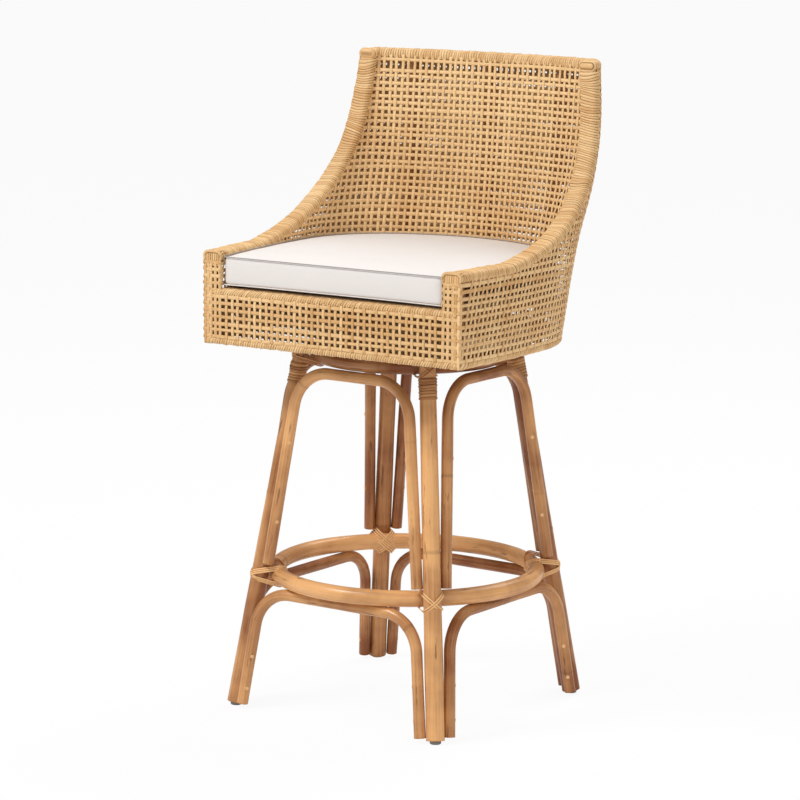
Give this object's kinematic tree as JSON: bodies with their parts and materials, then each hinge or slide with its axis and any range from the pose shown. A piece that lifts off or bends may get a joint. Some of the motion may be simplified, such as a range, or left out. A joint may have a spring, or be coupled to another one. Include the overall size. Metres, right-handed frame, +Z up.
{
  "type": "bar stool",
  "caption": "Rattan swivel bar stool: four pole legs with bent-pole arches and a round footrest ring, under a woven bucket seat with arms and a loose cushion",
  "frame": {"origin": "on the floor, in the middle of the stool's width and depth", "axes": "+Z up, the seat's front towards -Y, +X to the sitter's left"},
  "size_m": [0.54, 0.5305, 1.1],
  "materials": {
    "rattan_pole": "satin",
    "rattan_peel": "satin",
    "rattan_weave": "satin",
    "rattan_lashing": "satin",
    "cushion_fabric": "woven",
    "plywood": "matt",
    "zinc_plated_steel": "plated",
    "glide_plastic": "matt"
  },
  "bodies": {
    "base": {"leg_front_left": "rattan_pole", "leg_front_right": "rattan_pole", "leg_rear_right": "rattan_pole", "leg_rear_left": "rattan_pole", "foot_glides": "glide_plastic", "footrest_ring": "rattan_pole", "top_hoop": "rattan_pole", "upper_arch_front": "rattan_pole", "upper_arch_right": "rattan_pole", "upper_arch_rear": "rattan_pole", "upper_arch_left": "rattan_pole", "lower_arch_front": "rattan_pole", "lower_arch_right": "rattan_pole", "lower_arch_rear": "rattan_pole", "lower_arch_left": "rattan_pole", "arch_plugs": "rattan_pole", "leg_head_bindings": "rattan_lashing", "footrest_lashings": "rattan_lashing", "hoop_lashings": "rattan_lashing", "base_board": "plywood", "swivel_lower_plate": "zinc_plated_steel", "base_plate_screws": "zinc_plated_steel", "swivel_pin": "zinc_plated_steel"},
    "ball_race": {"ball_cage": "zinc_plated_steel", "bearing_balls": "zinc_plated_steel"},
    "seat": {"arm_rail_left_inner": "rattan_pole", "arm_rail_left_outer": "rattan_pole", "arm_rail_left_wrap": "rattan_peel", "arm_rail_right_inner": "rattan_pole", "arm_rail_right_outer": "rattan_pole", "arm_rail_right_wrap": "rattan_peel", "back_stay_centre": "rattan_pole", "back_stay_left": "rattan_pole", "back_stay_right": "rattan_pole", "batten_front": "plywood", "batten_rear": "plywood", "bottom_hoop": "rattan_pole", "bottom_hoop_wrap": "rattan_peel", "deck_board": "plywood", "deck_ledger": "rattan_pole", "front_post_left": "rattan_pole", "front_post_right": "rattan_pole", "front_rail": "rattan_pole", "front_rail_wrap": "rattan_peel", "inner_weave_back": "rattan_weave", "inner_weave_left": "rattan_weave", "inner_weave_right": "rattan_weave", "outer_weave_back": "rattan_weave", "outer_weave_front": "rattan_weave", "outer_weave_left": "rattan_weave", "outer_weave_right": "rattan_weave", "seat_plate_screws": "zinc_plated_steel", "side_stay_left": "rattan_pole", "side_stay_right": "rattan_pole", "swivel_upper_plate": "zinc_plated_steel", "top_rail_inner": "rattan_pole", "top_rail_outer": "rattan_pole", "top_rail_wrap": "rattan_peel"},
    "cushion": {"cushion": "cushion_fabric"}
  },
  "joints": [
    {"name": "seat_swivel", "type": "hinge", "parent": "base", "child": "seat", "pos_m": [0, -0.0135, 0.6383], "axis": [0, 0, 1], "continuous": true},
    {"name": "ball_race_turn", "type": "hinge", "parent": "base", "child": "ball_race", "pos_m": [0, -0.0135, 0.6383], "axis": [0, 0, 1], "continuous": true},
    {"name": "cushion_lift", "type": "slide", "parent": "seat", "child": "cushion", "axis": [0, 0, 1], "range_m": [0, 0.38]}
  ],
  "couplings": [
    {"joint": "ball_race_turn", "follows": "seat_swivel", "ratio": 0.5}
  ]
}
